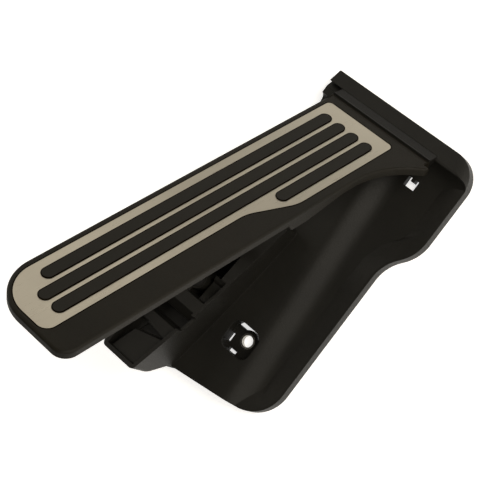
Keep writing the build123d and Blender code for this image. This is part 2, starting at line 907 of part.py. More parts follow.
with BuildPart() as shaft_bush_right:
    with BuildSketch(side_plane(right_bush_face)):
        with Locations((shaft_y, shaft_z)):
            Circle(bush_radius)
    extrude(amount=base_right_x - right_bush_face)
    with BuildSketch(side_plane(right_bush_face)):
        with Locations((shaft_y, shaft_z)):
            Circle(bush_flange)
    extrude(amount=-bush_flange_thickness)
    with BuildSketch(side_plane(right_bush_face - bush_flange_thickness)):
        with Locations((shaft_y, shaft_z)):
            Circle(shaft_radius + running_gap)
    extrude(amount=base_right_x - right_bush_face + bush_flange_thickness, mode=Mode.SUBTRACT)
shaft_bush_right.part.label = "shaft_bush_right"

# Return springs: a leg held under the ledge, the coil, and a leg behind the lug
coil_length = spring_pitch * spring_turns
coil_end_x = lever_x - lever_width / 2 - spring_side_gap - spring_wire / 2
coil_start_x = coil_end_x - coil_length
shaft_axis = Axis((0, shaft_y, shaft_z), (1, 0, 0))
with BuildPart() as return_spring_left:
    with BuildLine():
        spiral = Helix(
            pitch=spring_pitch,
            height=coil_length,
            radius=spring_mean_radius,
            center=(coil_start_x, shaft_y, shaft_z),
            direction=(1, 0, 0),
            mode=Mode.PRIVATE,
        )
        coil = spiral.rotate(shaft_axis, 180)
        add(coil)
    with BuildSketch(Plane(origin=coil @ 0, z_dir=coil % 0)):
        Circle(spring_wire / 2)
    sweep(is_frenet=True)
    with BuildSketch(Plane(origin=coil @ 0, z_dir=(0, -1, 0))):
        Circle(spring_wire / 2)
    extrude(amount=shaft_y - spring_leg_y)
    with BuildSketch(Plane(origin=coil @ 1, z_dir=(0, 0, 1))):
        Circle(spring_wire / 2)
    extrude(amount=spring_leg_z - shaft_z)
return_spring_left.part.label = "return_spring_left"

with BuildPart() as return_spring_right:
    mirror(return_spring_left.part, about=Plane.YZ.offset(lever_x))
return_spring_right.part.label = "return_spring_right"

# Bump stop: a rubber button whose stem presses into the cross rib's boss
with BuildPart() as bump_stop:
    with BuildSketch(base_plan.offset(seat_z)):
        with Locations((lever_x, stop_y)):
            Circle(stop_radius)
    extrude(amount=stop_height)
    fillet(bump_stop.edges().group_by(Axis.Z)[-1], radius=stop_round)
    with BuildSketch(base_plan.offset(seat_z)):
        with Locations((lever_x, stop_y)):
            Circle(stop_stem_radius)
    extrude(amount=-stop_stem)
bump_stop.part.label = "bump_stop"

# Sensor chamber: the stations along the shaft, from the wall outwards
rotor_face_x = rotor_x + rotor_depth
chip_x = rotor_face_x + air_gap
board_x = chip_x + chip_thickness
board_far_x = board_x + board_thickness
cover_inner_x = base_right_x + chamber_depth - cover_wall
pin_x = board_far_x + pin_rise
cup_toe_y = shaft_y + cup_length / 2
pin_y = cup_toe_y - cover_wall - board_gap - pin_row_inset
shroud_x = pin_x - shroud_round / 2

with BuildPart() as magnet_holder:
    with BuildSketch(side_plane(rotor_x)):
        with Locations((shaft_y, shaft_z)):
            Circle(rotor_radius)
    extrude(amount=rotor_depth)
    with BuildSketch(side_plane(rotor_x)):
        with Locations((shaft_y, shaft_z)):
            Circle(shaft_radius)
    extrude(amount=rotor_grip, mode=Mode.SUBTRACT)
    with BuildSketch(side_plane(rotor_face_x)):
        with Locations((shaft_y, shaft_z)):
            Circle(magnet_radius)
    extrude(amount=-magnet_depth, mode=Mode.SUBTRACT)
magnet_holder.part.label = "magnet_holder"

with BuildPart() as rotor_magnet:
    with BuildSketch(side_plane(rotor_face_x)):
        with Locations((shaft_y, shaft_z)):
            Circle(magnet_radius)
    extrude(amount=-magnet_depth)
rotor_magnet.part.label = "rotor_magnet"

# Pins: each stands through the board and turns along it into the connector
with BuildPart() as connector_pins:
    for index in range(pin_count):
        pin_z = chamber_centre_z + (index - (pin_count - 1) / 2) * pin_pitch
        with BuildSketch(side_plane(board_x)):
            with Locations((pin_y, pin_z)):
                Rectangle(pin_size, pin_size)
        extrude(amount=board_thickness + pin_rise)
        with BuildSketch(front_plane(pin_y - pin_size / 2)):
            with Locations((pin_x, pin_z)):
                Rectangle(pin_size, pin_size)
        extrude(amount=-(cup_toe_y + pin_reach - pin_y))
connector_pins.part.label = "connector_pins"

with BuildPart() as circuit_board:
    with BuildSketch(side_plane(board_x)):
        with Locations((shaft_y, chamber_centre_z)):
            Rectangle(
                cup_length - 2 * cover_wall - 2 * board_gap,
                cup_height - 2 * cover_wall - 2 * board_gap,
            )
    extrude(amount=board_thickness)
    add(connector_pins.part, mode=Mode.SUBTRACT)
circuit_board.part.label = "circuit_board"

with BuildPart() as sensor_chip:
    with BuildSketch(side_plane(chip_x)):
        with Locations((shaft_y, shaft_z)):
            Rectangle(chip_size, chip_size)
    extrude(amount=chip_thickness)
sensor_chip.part.label = "sensor_chip"

# Seal: a flat ring in the groove of the cover's rim
with BuildPart() as cover_seal:
    with BuildSketch(side_plane(base_right_x)):
        with Locations((shaft_y, chamber_centre_z)):
            RectangleRounded(
                cup_length - cover_wall + seal_width,
                cup_height - cover_wall + seal_width,
                small_corner,
            )
            RectangleRounded(
                cup_length - cover_wall - seal_width,
                cup_height - cover_wall - seal_width,
                small_corner - seal_width,
                mode=Mode.SUBTRACT,
            )
    extrude(amount=seal_depth)
cover_seal.part.label = "cover_seal"

# Sensor cover: flange, cup, connector shroud, and pillars that back the board
with BuildPart() as sensor_cover:
    with BuildSketch(side_plane(base_right_x)):
        with Locations((shaft_y, chamber_centre_z)):
            RectangleRounded(cover_length, cover_height, small_corner)
    extrude(amount=cover_flange)
    with BuildSketch(side_plane(base_right_x)):
        with Locations((shaft_y, chamber_centre_z)):
            RectangleRounded(cup_length, cup_height, small_corner)
    extrude(amount=chamber_depth)
    outer_face = sensor_cover.faces().sort_by(Axis.X)[-1]
    fillet(outer_face.edges(), radius=shroud_round)
    with BuildSketch(front_plane(cup_toe_y - shroud_round)):
        with Locations((shroud_x, chamber_centre_z)):
            RectangleRounded(shroud_width, shroud_height, shroud_round)
    extrude(amount=-(shroud_length + shroud_round))
    with BuildSketch(front_plane(cup_toe_y)):
        with Locations((shroud_x, chamber_centre_z)):
            Rectangle(shroud_width - 2 * shroud_wall, shroud_height - 2 * shroud_wall)
    extrude(amount=-shroud_length, mode=Mode.SUBTRACT)
    with BuildSketch(side_plane(base_right_x)):
        with Locations((shaft_y, chamber_centre_z)):
            Rectangle(cup_length - 2 * cover_wall, cup_height - 2 * cover_wall)
    extrude(amount=chamber_depth - cover_wall, mode=Mode.SUBTRACT)
    with BuildSketch(side_plane(board_far_x)):
        with Locations((shaft_y, chamber_centre_z)):
            with GridLocations(
                cup_length - 2 * cover_wall - 2 * pillar_inset,
                cup_height - 2 * cover_wall - 2 * pillar_inset,
                2,
                2,
            ):
                Circle(pillar_radius)
    extrude(amount=cover_inner_x - board_far_x)
    with BuildSketch(side_plane(base_right_x)):
        with Locations((shaft_y, chamber_centre_z)):
            with GridLocations(screw_pitch_y, screw_pitch_z, 2, 2):
                Circle(screw_radius + screw_clearance)
    extrude(amount=cover_flange, mode=Mode.SUBTRACT)
    add(cover_seal.part, mode=Mode.SUBTRACT)
    add(connector_pins.part, mode=Mode.SUBTRACT)
sensor_cover.part.label = "sensor_cover"

with BuildPart() as cover_screws:
    with BuildSketch(side_plane(base_right_x - wall)):
        with Locations((shaft_y, chamber_centre_z)):
            with GridLocations(screw_pitch_y, screw_pitch_z, 2, 2):
                Circle(screw_radius)
    extrude(amount=wall + cover_flange)
    with BuildSketch(side_plane(base_right_x + cover_flange)):
        with Locations((shaft_y, chamber_centre_z)):
            with GridLocations(screw_pitch_y, screw_pitch_z, 2, 2):
                Circle(screw_head_radius)
    extrude(amount=screw_head)
    with BuildSketch(side_plane(base_right_x + cover_flange + screw_head)):
        with Locations((shaft_y, chamber_centre_z)):
            with GridLocations(screw_pitch_y, screw_pitch_z, 2, 2):
                RegularPolygon(screw_socket, 6)
    extrude(amount=-screw_head / 2, mode=Mode.SUBTRACT)
cover_screws.part.label = "cover_screws"

os.makedirs("parts", exist_ok=True)
export_step(base_housing.part, "parts/base_housing.step")
export_step(hinge_strip.part, "parts/hinge_strip.step")
export_step(bolt_sleeve.part, "parts/bolt_sleeve.step")
export_step(pedal_pad.part, "parts/pedal_pad.step")
export_step(tread_plate.part, "parts/tread_plate.step")
export_step(rubber_mat.part, "parts/rubber_mat.step")
export_step(lever_arm.part, "parts/lever_arm.step")
export_step(lever_shoe.part, "parts/lever_shoe.step")
export_step(lever_shaft.part, "parts/lever_shaft.step")
export_step(shaft_bush_left.part, "parts/shaft_bush_left.step")
export_step(shaft_bush_right.part, "parts/shaft_bush_right.step")
export_step(return_spring_left.part, "parts/return_spring_left.step")
export_step(return_spring_right.part, "parts/return_spring_right.step")
export_step(bump_stop.part, "parts/bump_stop.step")
export_step(magnet_holder.part, "parts/magnet_holder.step")
export_step(rotor_magnet.part, "parts/rotor_magnet.step")
export_step(connector_pins.part, "parts/connector_pins.step")
export_step(circuit_board.part, "parts/circuit_board.step")
export_step(sensor_chip.part, "parts/sensor_chip.step")
export_step(cover_seal.part, "parts/cover_seal.step")
export_step(sensor_cover.part, "parts/sensor_cover.step")
export_step(cover_screws.part, "parts/cover_screws.step")
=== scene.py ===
import bpy
import numpy as np
from mathutils import Matrix, Vector


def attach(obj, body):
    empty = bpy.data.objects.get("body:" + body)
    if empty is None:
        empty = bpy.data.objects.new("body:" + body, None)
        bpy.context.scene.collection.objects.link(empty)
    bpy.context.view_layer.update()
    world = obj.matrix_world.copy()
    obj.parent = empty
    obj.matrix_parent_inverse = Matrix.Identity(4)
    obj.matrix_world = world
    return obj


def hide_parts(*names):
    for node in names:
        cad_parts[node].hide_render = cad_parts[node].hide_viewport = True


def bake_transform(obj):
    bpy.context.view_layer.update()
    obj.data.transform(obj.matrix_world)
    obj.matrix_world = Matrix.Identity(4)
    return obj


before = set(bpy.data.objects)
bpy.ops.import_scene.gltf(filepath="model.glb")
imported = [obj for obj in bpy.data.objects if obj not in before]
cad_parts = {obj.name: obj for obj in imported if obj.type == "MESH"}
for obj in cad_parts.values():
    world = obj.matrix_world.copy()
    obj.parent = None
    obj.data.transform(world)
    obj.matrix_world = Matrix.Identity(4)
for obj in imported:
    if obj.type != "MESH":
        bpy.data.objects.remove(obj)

bl_info = {
    "name": "Accelerator Pedal Sensor",
    "version": (1, 0, 0),
    "blender": (4, 5, 0),
    "location": "View3D > Sidebar > Pedal",
    "description": "Dresses a floor hinged accelerator pedal and its rotary sensor",
    "category": "Object",
}

MM = 0.001

# Lever shaft and return springs, in millimetres, and how many points draw them
SHAFT_Y = -42.0
SHAFT_Z = 17.0
SPRING_RADIUS = 8.4
SPRING_WIRE = 1.8
SPRING_TURNS = 2.25
SPRING_PITCH = 2.1
SPRING_START_X = 24.175
SPRING_MIRROR_X = 34.5
SPRING_LEG_Y = -58.0
SPRING_LEG_Z = 31.0
COIL_POINTS = 145
LEG_POINTS = 12

# The plane of the tread plate's top: its tilt in degrees, and the place at its heel
# that the pad's sizes are measured from, in millimetres
PAD_TILT = 45.0
PAD_CENTRE_X = 12.6
PAD_HEEL_Y = -138.768
PAD_HEEL_Z = 17.768

# Tread ribs and plate, in millimetres across and along the pad
RIB_WIDTH = 7.1
RIB_FIRST_X = 17.2
RIB_PITCH = 9.83
RIB_START = 15.6
RIB_ENDS = (214.2, 223.9, 223.7, 86.6)
PLATE_CORNERS = (
    (25.9, 6.3), (25.9, 235.0), (-10.6, 235.0), (-10.6, 107.5), (-21.3, 81.0), (-21.3, 6.3),
)
PLATE_RADII = (3.0, 20.0, 6.0, 25.0, 25.0, 3.0)
ARC_POINTS = 17

# Dark rims of painted shade at the tread's gaps: outward offsets from the outline,
# and heights over the plate
RIB_SHADE_OFFSETS = (-0.4, -0.38, 0.08, 0.12)
RIB_SHADE_HEIGHTS = (0.36, 0.42, 0.42, 0.005)
PLATE_SHADE_OFFSETS = (-0.12, -0.1, 0.42, 0.44)
PLATE_SHADE_HEIGHTS = (0.005, 0.05, 0.05, 0.005)

# The sensor box, in millimetres: its sloping top as a station y, the height there and
# the slope, the inner face of its bowed side wall, the gap that a ledge leaves to it,
# and the run over which a ledge's edge drops
BOX_TOP = (2.4, 35.91, 0.1814)
SIDE_STATIONS = (-66.0, -17.0, 47.0)
SIDE_INNER_X = (13.2, 18.6, 28.7)
WALL_GAP = 0.08
LEDGE_RUN = 0.4

# Sizes of the finishes, in millimetres: the spread of slow changes in tone, the
# rounding of a moulded edge and the spacing of the board's tracks
PLASTIC_CLOUD = 34.0
MOULD_EDGE = 0.35
METAL_DRIFT = 60.0
ACETAL_CLOUD = 3.0
TRACK_SPACING = 2.2

# The stage, in metres, with the strengths of its floor's glow and its room's light
FLOOR_HALF = 3.0
FLOOR_DROP = 0.05 * MM
FLOOR_GLOW = 0.68
ROOM_STRENGTH = 0.03
LAMP_AIM = Vector((0.0, -0.04, 0.06))
LAMP_DISTANCE = 1.3
WARM_WHITE = "#fff8ec"
CARD_WHITE = "#fff9f0"

# The camera of the photograph: its place in metres, its right and up directions, its
# lens and sensor in millimetres, and how far it sees in metres
CAMERA_AT = Vector((-0.3128, -0.1146, 0.7133))
CAMERA_RIGHT = Vector((-0.6945, -0.5931, -0.4075))
CAMERA_UP = Vector((0.5658, -0.7999, 0.1999))
CAMERA_LENS = 104.9
SENSOR_WIDTH = 36.0
CAMERA_REACH = 20.0


def linear(hex_colour):
    """Turns an sRGB hex colour into linear red, green, blue and alpha."""
    channels = np.array([int(hex_colour[i:i + 2], 16) for i in (1, 3, 5)]) / 255.0
    low = channels / 12.92
    high = ((channels + 0.055) / 1.055) ** 2.4
    return (*np.where(channels <= 0.04045, low, high), 1.0)


def tones(dark, light):
    """The two linear colours that a material moves between."""
    return linear(dark), linear(light)


def add_node(tree, kind, inputs=None, **settings):
    """Adds a node, sets its fields, and fills or links each named input."""
    node = tree.nodes.new(kind)
    for field, value in settings.items():
        setattr(node, field, value)
    for name, value in (inputs or {}).items():
        socket = node.inputs[name]
        if isinstance(value, bpy.types.NodeSocket):
            tree.links.new(value, socket)
        else:
            socket.default_value = value
    return node


def new_material(name):
    """An empty node material and its tree."""
    material = bpy.data.materials.new(name)
    material.use_nodes = True
    material.node_tree.nodes.clear()
    return material, material.node_tree


def finish_material(tree, colour, roughness, normal=None, **fixed):
    """Principled surface from linked colour, roughness and normal, and fixed sockets."""
    inputs = {"Base Color": colour, "Roughness": roughness}
    if normal is not None:
        inputs["Normal"] = normal
    inputs.update(fixed)
    shader = add_node(tree, "ShaderNodeBsdfPrincipled", inputs)
    add_node(tree, "ShaderNodeOutputMaterial", {"Surface": shader.outputs["BSDF"]})


def ramp_between(tree, factor, low, high, start=0.3, end=0.7):
    """Colour that goes from low to high as factor goes from start to end."""
    ramp = add_node(tree, "ShaderNodeValToRGB", {"Fac": factor})
    stops = ramp.color_ramp.elements
    stops[0].position = start
    stops[0].color = low
    stops[1].position = end
    stops[1].color = high
    return ramp.outputs["Color"]


def moulded_plastic(name, colours, grain_mm, grain_depth_mm, roughness, gloss=0.3):
    """Injection moulded black plastic: a spark eroded grain that breaks its gloss up,
    a faint cloudiness of colour, and edges that a mould leaves slightly round. The
    real grain is about 0.2 mm wide, and is drawn coarser so that it shows."""
    material, tree = new_material(name)
    place = add_node(tree, "ShaderNodeTexCoord").outputs["Object"]
    grain = add_node(tree, "ShaderNodeTexNoise", {
        "Vector": place, "Scale": 1.0 / (grain_mm * MM), "Detail": 3.0, "Roughness": 0.6,
    })
    cloud = add_node(tree, "ShaderNodeTexNoise", {
        "Vector": place, "Scale": 1.0 / (PLASTIC_CLOUD * MM), "Detail": 4.0, "Roughness": 0.55,
    })
    colour = ramp_between(tree, cloud.outputs["Fac"], *colours)
    rough = add_node(tree, "ShaderNodeMapRange", {
        "Value": grain.outputs["Fac"], "From Min": 0.3, "From Max": 0.7,
        "To Min": roughness - 0.06, "To Max": roughness + 0.08,
    })
    round_edge = add_node(tree, "ShaderNodeBevel", {"Radius": MOULD_EDGE * MM}, samples=6)
    bump = add_node(tree, "ShaderNodeBump", {
        "Height": grain.outputs["Fac"], "Distance": grain_depth_mm * MM, "Strength": 0.6,
        "Normal": round_edge.outputs["Normal"],
    })
    finish_material(
        tree, colour, rough.outputs["Result"], bump.outputs["Normal"],
        **{"Specular IOR Level": gloss},
    )
    return material


def satin_sheet(name, colours, stroke_mm, stroke_length_mm, roughness):
    """Stainless sheet, satin brushed along the pad: fine strokes that run the same way,
    and a slow warm to cool drift in the reflection. The real strokes are under 0.1 mm
    wide, and are drawn coarser so that they show."""
    material, tree = new_material(name)
    place = add_node(tree, "ShaderNodeTexCoord").outputs["Object"]
    turned = add_node(tree, "ShaderNodeMapping", {
        "Vector": place, "Rotation": (np.radians(-PAD_TILT), 0.0, 0.0),
    })
    stretched = add_node(tree, "ShaderNodeMapping", {
        "Vector": turned.outputs["Vector"],
        "Scale": (1.0, stroke_mm / stroke_length_mm, 1.0),
    })
    strokes = add_node(tree, "ShaderNodeTexNoise", {
        "Vector": stretched.outputs["Vector"], "Scale": 1.0 / (stroke_mm * MM),
        "Detail": 4.0, "Roughness": 0.7,
    })
    drift = add_node(tree, "ShaderNodeTexNoise", {
        "Vector": place, "Scale": 1.0 / (METAL_DRIFT * MM), "Detail": 2.0,
    })
    colour = ramp_between(tree, drift.outputs["Fac"], *colours)
    rough = add_node(tree, "ShaderNodeMapRange", {
        "Value": strokes.outputs["Fac"], "From Min": 0.25, "From Max": 0.75,
        "To Min": roughness - 0.05, "To Max": roughness + 0.07,
    })
    bump = add_node(tree, "ShaderNodeBump", {
        "Height": strokes.outputs["Fac"], "Distance": 0.004 * MM, "Strength": 0.5,
    })
    finish_material(
        tree, colour, rough.outputs["Result"], bump.outputs["Normal"], Metallic=1.0
    )
    return material


def moulded_rubber(name, colours, grain_mm, roughness):
    """Moulded EPDM rubber: matt, slightly uneven in tone, with a dusty soft sheen. The
    real bloom is finer than its grain here, which is drawn coarser so that it shows."""
    material, tree = new_material(name)
    place = add_node(tree, "ShaderNodeTexCoord").outputs["Object"]
    grain = add_node(tree, "ShaderNodeTexNoise", {
        "Vector": place, "Scale": 1.0 / (grain_mm * MM), "Detail": 5.0, "Roughness": 0.65,
    })
    colour = ramp_between(tree, grain.outputs["Fac"], *colours)
    bump = add_node(tree, "ShaderNodeBump", {
        "Height": grain.outputs["Fac"], "Distance": 0.03 * MM, "Strength": 0.5,
    })
    shine = add_node(tree, "ShaderNodeMapRange", {
        "Value": grain.outputs["Fac"], "From Min": 0.3, "From Max": 0.7,
        "To Min": roughness - 0.04, "To Max": roughness + 0.06,
    })
    finish_material(
        tree, colour, shine.outputs["Result"], bump.outputs["Normal"],
        **{"Specular IOR Level": 0.25, "Sheen Weight": 0.01, "Sheen Roughness": 0.5},
    )
    return material


def worked_metal(name, colours, grain_mm, roughness):
    """Drawn, ground or plated metal: fine uneven grain in tone and shine. The real
    scratches are a few hundredths wide, and are drawn coarser so that they show."""
    material, tree = new_material(name)
    place = add_node(tree, "ShaderNodeTexCoord").outputs["Object"]
    grain = add_node(tree, "ShaderNodeTexNoise", {
        "Vector": place, "Scale": 1.0 / (grain_mm * MM), "Detail": 5.0, "Roughness": 0.6,
    })
    colour = ramp_between(tree, grain.outputs["Fac"], *colours)
    shine = add_node(tree, "ShaderNodeMapRange", {
        "Value": grain.outputs["Fac"], "From Min": 0.3, "From Max": 0.7,
        "To Min": roughness - 0.07, "To Max": roughness + 0.09,
    })
    bump = add_node(tree, "ShaderNodeBump", {
        "Height": grain.outputs["Fac"], "Distance": 0.006 * MM, "Strength": 0.4,
    })
    finish_material(
        tree, colour, shine.outputs["Result"], bump.outputs["Normal"], Metallic=1.0
    )
    return material


def acetal(name, colours, roughness):
    """Natural acetal: waxy off-white that lets a little light in under its skin."""
    material, tree = new_material(name)
    place = add_node(tree, "ShaderNodeTexCoord").outputs["Object"]
    cloud = add_node(tree, "ShaderNodeTexNoise", {
        "Vector": place, "Scale": 1.0 / (ACETAL_CLOUD * MM), "Detail": 3.0,
    })
    colour = ramp_between(tree, cloud.outputs["Fac"], *colours)
    finish_material(
        tree, colour, roughness,
        **{"Subsurface Weight": 0.25, "Subsurface Radius": (0.8 * MM, 0.7 * MM, 0.5 * MM)},
    )
    return material


def solder_resist(name, resist, copper):
    """Printed board laminate under green resist, with copper tracks showing through
    as a lighter square weave, drawn coarser than real tracks so that it shows."""
    material, tree = new_material(name)
    place = add_node(tree, "ShaderNodeTexCoord").outputs["Object"]
    tracks = add_node(tree, "ShaderNodeTexVoronoi", {
        "Vector": place, "Scale": 1.0 / (TRACK_SPACING * MM), "Randomness": 0.35,
    }, distance="CHEBYCHEV", feature="DISTANCE_TO_EDGE")
    colour = ramp_between(
        tree, tracks.outputs["Distance"], linear(copper), linear(resist), 0.02, 0.12
    )
    finish_material(tree, colour, 0.28)
    return material


def dress(material, *nodes):
    """Gives each of these CAD nodes the material on every slot."""
    for node in nodes:
        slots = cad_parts[node].data.materials
        slots.clear()
        slots.append(material)


def unit(vectors):
    """Vectors of the same directions, each 1 long."""
    return vectors / np.linalg.norm(vectors, axis=-1, keepdims=True)


def tube_along(path, radius, sides):
    """Rings of a round tube. Ring i is path[i] + radius (cos t side + sin t other) for t
    round the circle, where side is square to the path and to the X axis, and other is
    square to the path and to side."""
    along = unit(np.gradient(path, axis=0))
    side = unit(np.cross(along, np.array([1.0, 0.0, 0.0])))
    other = np.cross(along, side)
    turn = np.linspace(0.0, 2.0 * np.pi, sides, endpoint=False)[None, :, None]
    spokes = np.cos(turn) * side[:, None, :] + np.sin(turn) * other[:, None, :]
    return path[:, None, :] + radius * spokes


def grid_mesh(name, rings, loop=False):
    """Mesh of a grid of points, rings[i, j], in which every ring is closed. A flat cap
    closes each end, or with loop the last ring is joined to the first."""
    count, sides = rings.shape[:2]
    index = np.arange(count * sides).reshape(count, sides)
    if loop:
        index = np.concatenate([index, index[:1]])
    beside = np.roll(index, -1, axis=1)
    quads = np.stack([index[:-1], beside[:-1], beside[1:], index[1:]], axis=-1)
    faces = quads.reshape(-1, 4).tolist()
    if not loop:
        faces.append(index[0, ::-1].tolist())
        faces.append(index[-1].tolist())
    mesh = bpy.data.meshes.new(name)
    mesh.from_pydata(rings.reshape(-1, 3).tolist(), [], faces)
    mesh.validate()
    mesh.update()
    return mesh


def new_piece(mesh, material, smooth):
    """Links a finished mesh as a piece of its own name, with one material and smooth or flat
    shading."""
    mesh.materials.append(material)
    mesh.polygons.foreach_set("use_smooth", np.full(len(mesh.polygons), smooth))
    piece = bpy.data.objects.new(mesh.name, mesh)
    bpy.context.scene.collection.objects.link(piece)
    return piece


def mirror_across(x, mirrored):
    """The X places themselves, or mirrored, those of the spring on the other side."""
    return 2.0 * SPRING_MIRROR_X - x if mirrored else x


def spring_path(mirrored):
    """Centre line of a return spring, in metres: a straight leg, a helix about the
    shaft that starts below it, and a straight leg that rises tangent to the last turn.
    At angle t the helix is at x = start + pitch t / 2 pi, y = shaft + radius sin t and
    z = shaft - radius cos t."""
    turn = np.linspace(0.0, 2.0 * np.pi * SPRING_TURNS, COIL_POINTS)
    coil = np.stack(
        [
            SPRING_START_X + SPRING_PITCH * turn / (2.0 * np.pi),
            SHAFT_Y + SPRING_RADIUS * np.sin(turn),
            SHAFT_Z - SPRING_RADIUS * np.cos(turn),
        ],
        axis=1,
    )
    along = np.linspace(0.0, 1.0, LEG_POINTS)[:, None]
    foot = np.array([coil[0, 0], SPRING_LEG_Y, coil[0, 2]])
    head = np.array([coil[-1, 0], coil[-1, 1], SPRING_LEG_Z])
    low_leg = foot + (coil[0] - foot) * along
    high_leg = coil[-1] + (head - coil[-1]) * along
    path = np.concatenate([low_leg[:-1], coil, high_leg[1:]])
    path[:, 0] = mirror_across(path[:, 0], mirrored)
    return path * MM


def rise_past(distance):
    """Goes from 0 to 1 over the short run past an edge."""
    return np.clip(distance / LEDGE_RUN, 0.0, 1.0)


def on_line(line, place):
    """Height of a straight line at a place: value + slope (place - start)."""
    start, value, slope = line
    return value + slope * (place - start)


def ledge_block(stations, far_x, columns, depth, foot):
    """Stepped block between a well's walls, in metres. Its top is z(x, y) = box top(y) -
    depth(x, y) and its foot is z(x, y) = box top(y) - foot(y), on stations y and on even
    shares of the way from the side wall to far_x."""
    wall_x = np.interp(stations, SIDE_STATIONS, SIDE_INNER_X)[:, None] + WALL_GAP
    x = wall_x + (far_x - wall_x) * np.linspace(0.0, 1.0, columns)[None, :]
    y = np.repeat(stations[:, None], columns, axis=1)
    box_top = on_line(BOX_TOP, y)
    upper = np.stack([x, y, box_top - depth(x, y)], axis=-1)
    lower = np.stack([x, y, box_top - foot(y)], axis=-1)[:, ::-1]
    return np.concatenate([upper, lower], axis=1) * MM


def toe_ledges():
    """Ledges of the toe well: a shelf behind the toe wall that ends on a slant, a groove,
    a lower shelf, a trough and a ramp up to the beam. Along y the depth under the box's
    top is piecewise linear, and past the slanting far edge it drops."""
    shelf_edge = (28.6, 25.3, 0.27)
    groove_edge = (28.6, 23.9, -0.1)
    far_edge = (29.3, 43.2, 0.3)
    far_edge_from = 22.0
    shelf_depth, groove_depth, far_depth = 2.4, 8.0, 7.0

    ramp_and_trough_y = (2.5, 8.2, 8.6, 15.6, 16.2, 23.0)
    ramp_and_trough_depth = (0.7, 7.0, 13.0, 13.0, 4.2, 4.2)
    stations = np.linspace(2.5, 44.4, 169)

    def depth(x, y):
        low = np.interp(y, ramp_and_trough_y, ramp_and_trough_depth)
        groove = low + (groove_depth - low) * rise_past(y - on_line(groove_edge, x))
        shelf = groove + (shelf_depth - groove) * rise_past(y - on_line(shelf_edge, x))
        beyond = rise_past(x - on_line(far_edge, y)) * rise_past(y - far_edge_from)
        return shelf + (far_depth - shelf) * beyond

    def foot(y):
        return np.interp(y, (0.0, 24.0, 30.0, 47.0), (14.5, 14.5, 9.0, 8.6))

    return ledge_block(stations, far_x=49.4, columns=97, depth=depth, foot=foot)


def middle_ledge():
    """Ledge of the middle well: a shelf along the side wall that rises at its heel end,
    and drops past its edge on the lever's side."""
    shelf_edge_x, floor_depth, foot_depth = 26.8, 8.0, 10.0
    stations = np.linspace(-20.8, -4.9, 54)

    def depth(x, y):
        shelf = np.interp(y, (-20.8, -18.5, -17.0), (1.2, 2.4, 4.0))
        return shelf + (floor_depth - shelf) * rise_past(x - shelf_edge_x)

    def foot(y):
        return np.full_like(y, foot_depth)

    return ledge_block(stations, far_x=28.2, columns=37, depth=depth, foot=foot)


def rounded_course(corners, radii):
    """Points of a closed outline with rounded corners, and the outward normal at each.
    A corner of radius r and half angle h has its arc's centre r / sin(h) from it, on
    the line that halves the corner. Corners run anticlockwise."""
    corners = np.array(corners, dtype=float)
    radii = np.array(radii)[:, None]
    back = unit(np.roll(corners, 1, axis=0) - corners)
    on = unit(np.roll(corners, -1, axis=0) - corners)
    half = np.arccos(np.sum(back * on, axis=1, keepdims=True)) / 2.0
    centre = corners + unit(back + on) * radii / np.sin(half)
    first = corners + back * radii / np.tan(half) - centre
    last = corners + on * radii / np.tan(half) - centre
    start = np.arctan2(first[:, 1], first[:, 0])[:, None]
    end = np.arctan2(last[:, 1], last[:, 0])[:, None]
    swing = (end - start + np.pi) % (2.0 * np.pi) - np.pi
    angle = start + swing * np.linspace(0.0, 1.0, ARC_POINTS)
    spokes = np.stack([np.cos(angle), np.sin(angle)], axis=-1)
    points = centre[:, None, :] + radii[:, :, None] * spokes
    normals = np.sign(swing)[:, :, None] * spokes
    return points.reshape(-1, 2), normals.reshape(-1, 2)


def tread_shade_rim(corners, radii, offsets, heights):
    """Closed bead along an outline on the pad, in metres: each point of the outline
    carries a profile of outward offsets and of heights over the plate."""
    points, normals = rounded_course(corners, radii)
    flat = points[:, None, :] + np.array(offsets)[None, :, None] * normals[:, None, :]
    tilt = np.radians(PAD_TILT)
    along = flat[..., 1]
    height = np.broadcast_to(np.array(heights), along.shape)
    x = PAD_CENTRE_X + flat[..., 0]
    y = PAD_HEEL_Y + along * np.cos(tilt) - height * np.sin(tilt)
    z = PAD_HEEL_Z + along * np.sin(tilt) + height * np.cos(tilt)
    return np.stack([x, y, z], axis=-1) * MM


def rib_shade_rim(number):
    """Dark rim of painted shade round one rib, over its rounded edge and the gap to the plate.
    Its ends are almost half circles, which leaves a short straight between two arcs."""
    half = RIB_WIDTH / 2.0
    middle, end = RIB_FIRST_X - number * RIB_PITCH, RIB_ENDS[number]
    left, right = middle - half, middle + half
    corners = [(right, RIB_START), (right, end), (left, end), (left, RIB_START)]
    return tread_shade_rim(corners, [0.999 * half] * 4, RIB_SHADE_OFFSETS, RIB_SHADE_HEIGHTS)


def plate_shade_rim():
    """Dark line of painted shade round the plate, over its gap to the pad."""
    return tread_shade_rim(PLATE_CORNERS, PLATE_RADII, PLATE_SHADE_OFFSETS, PLATE_SHADE_HEIGHTS)


class PedalFinish(bpy.types.PropertyGroup):
    """Colours and sizes that a user would change."""

    metal_colour: bpy.props.FloatVectorProperty(
        name="Tread metal", description="Colour of the satin tread plate",
        subtype="COLOR", size=4, min=0.0, max=1.0, default=linear("#c1baa9"),
    )
    plastic_colour: bpy.props.FloatVectorProperty(
        name="Plastic", description="Colour of the moulded base",
        subtype="COLOR", size=4, min=0.0, max=1.0, default=linear("#1c1b17"),
    )
    grain: bpy.props.FloatProperty(
        name="Grain", description="Width of the grain on the base and the pad",
        subtype="DISTANCE", min=0.1 * MM, precision=4, default=0.8 * MM,
    )
    wire_sides: bpy.props.IntProperty(
        name="Wire sides", description="Facets round the spring wire", min=6, default=20,
    )


